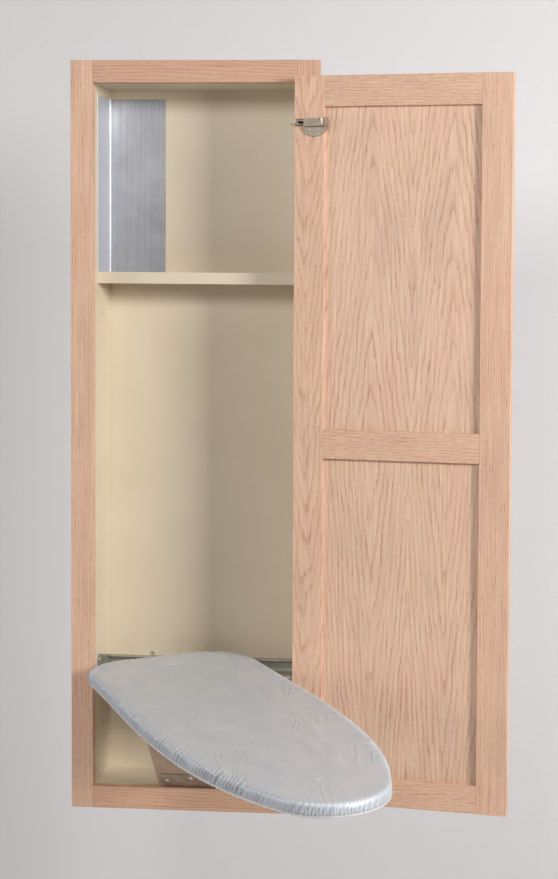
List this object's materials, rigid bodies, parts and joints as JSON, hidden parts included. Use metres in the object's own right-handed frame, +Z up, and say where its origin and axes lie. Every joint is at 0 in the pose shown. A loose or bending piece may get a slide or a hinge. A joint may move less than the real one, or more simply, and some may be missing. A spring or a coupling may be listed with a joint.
{
  "type": "ironing board cabinet",
  "caption": "Recessed wall cabinet with an oak face frame, a mirror-fronted door, a shelf with a heat shield and a swivelling fold-down ironing board.",
  "frame": {"origin": "on the back of the face frame, on the centreline, halfway down the flange that laps the wall below the case", "axes": "+Z up, -Y out of the wall towards the user, +X to the user's right"},
  "size_m": [0.7323, 0.7814, 1.244],
  "materials": {
    "oak": "unfinished red oak, sanded",
    "oak_veneer": "flat-cut red oak veneer, unfinished",
    "melamine": "cream melamine-faced board",
    "galvanised_sheet": "galvanised sheet steel, dull and lightly scratched",
    "zinc_plated_steel": "zinc-plated steel",
    "zinc_screws": "bright zinc plate",
    "nickel_plate": "satin nickel plate",
    "hardboard": "brown hardboard",
    "birch_plywood": "plain plywood",
    "felt": "needled cotton felt",
    "silver_cloth": "silver coated cotton",
    "elastic": "woven elastic",
    "mirror_glass": "silvered float glass"
  },
  "bodies": {
    "cabinet": {"left_stile": "oak", "right_stile": "oak", "top_rail": "oak", "bottom_rail": "oak", "left_side_panel": "melamine", "right_side_panel": "melamine", "top_panel": "melamine", "bottom_panel": "melamine", "back_panel": "melamine", "shelf": "melamine", "heat_shield": "galvanised_sheet", "cross_channel": "zinc_plated_steel", "channel_brackets": "zinc_plated_steel", "channel_screws": "zinc_screws", "foot_hinge_fixed_leaf": "nickel_plate", "foot_hinge_pin": "nickel_plate", "foot_hinge_floor_screws": "nickel_plate", "door_hinge_frame_plates": "nickel_plate", "door_hinge_plate_screws": "nickel_plate"},
    "brace": {"brace_panel": "hardboard", "foot_hinge_brace_leaf": "nickel_plate", "foot_hinge_brace_screws": "nickel_plate", "top_hinge_brace_leaf": "nickel_plate", "top_hinge_pin": "nickel_plate"},
    "platform": {"platform": "birch_plywood", "top_hinge_platform_leaf": "nickel_plate", "platform_rear_bar": "zinc_plated_steel", "swivel_base_plate": "zinc_plated_steel", "swivel_base_screws": "zinc_screws", "pivot_bolt": "zinc_screws", "pivot_nut": "zinc_screws"},
    "board": {"board_core": "birch_plywood", "board_pad": "felt", "board_cover": "silver_cloth", "hem_elastic": "elastic", "swivel_board_plate": "zinc_plated_steel", "swivel_board_screws": "zinc_screws"},
    "door": {"door_hinge_stile": "oak", "door_outer_stile": "oak", "door_top_rail": "oak", "door_middle_rail": "oak", "door_bottom_rail": "oak", "door_upper_panel": "oak_veneer", "door_lower_panel": "oak_veneer", "door_hinge_arms": "nickel_plate", "door_hinge_cups": "nickel_plate", "door_hinge_pins": "nickel_plate", "door_hinge_cup_screws": "nickel_plate", "mirror_glass": "mirror_glass", "mirror_clips": "nickel_plate", "mirror_clip_screws": "nickel_plate"}
  },
  "joints": [
    {"name": "door_swing", "type": "hinge", "parent": "cabinet", "child": "door", "pos_m": [0.175, -0.0326, 0.6], "axis": [0, 0, 1], "range_deg": [-46, 0]},
    {"name": "board_fold", "type": "hinge", "parent": "brace", "child": "platform", "pos_m": [0, -0.169, 0.1941], "axis": [-1, 0, 0], "range_deg": [0, 43.9]},
    {"name": "brace_swing", "type": "hinge", "parent": "cabinet", "child": "brace", "pos_m": [0, -0.01, 0.0289], "axis": [-1, 0, 0], "range_deg": [0, 46.15]},
    {"name": "board_swivel", "type": "hinge", "parent": "platform", "child": "board", "pos_m": [0, -0.0965, 0.2234], "axis": [0, 0, 1], "range_deg": [-30.95, 0]}
  ],
  "couplings": [
    {"joint": "board_fold", "follows": "brace_swing", "ratio": 0.94999},
    {"joint": "board_swivel", "follows": "brace_swing", "ratio": -0.6695}
  ]
}
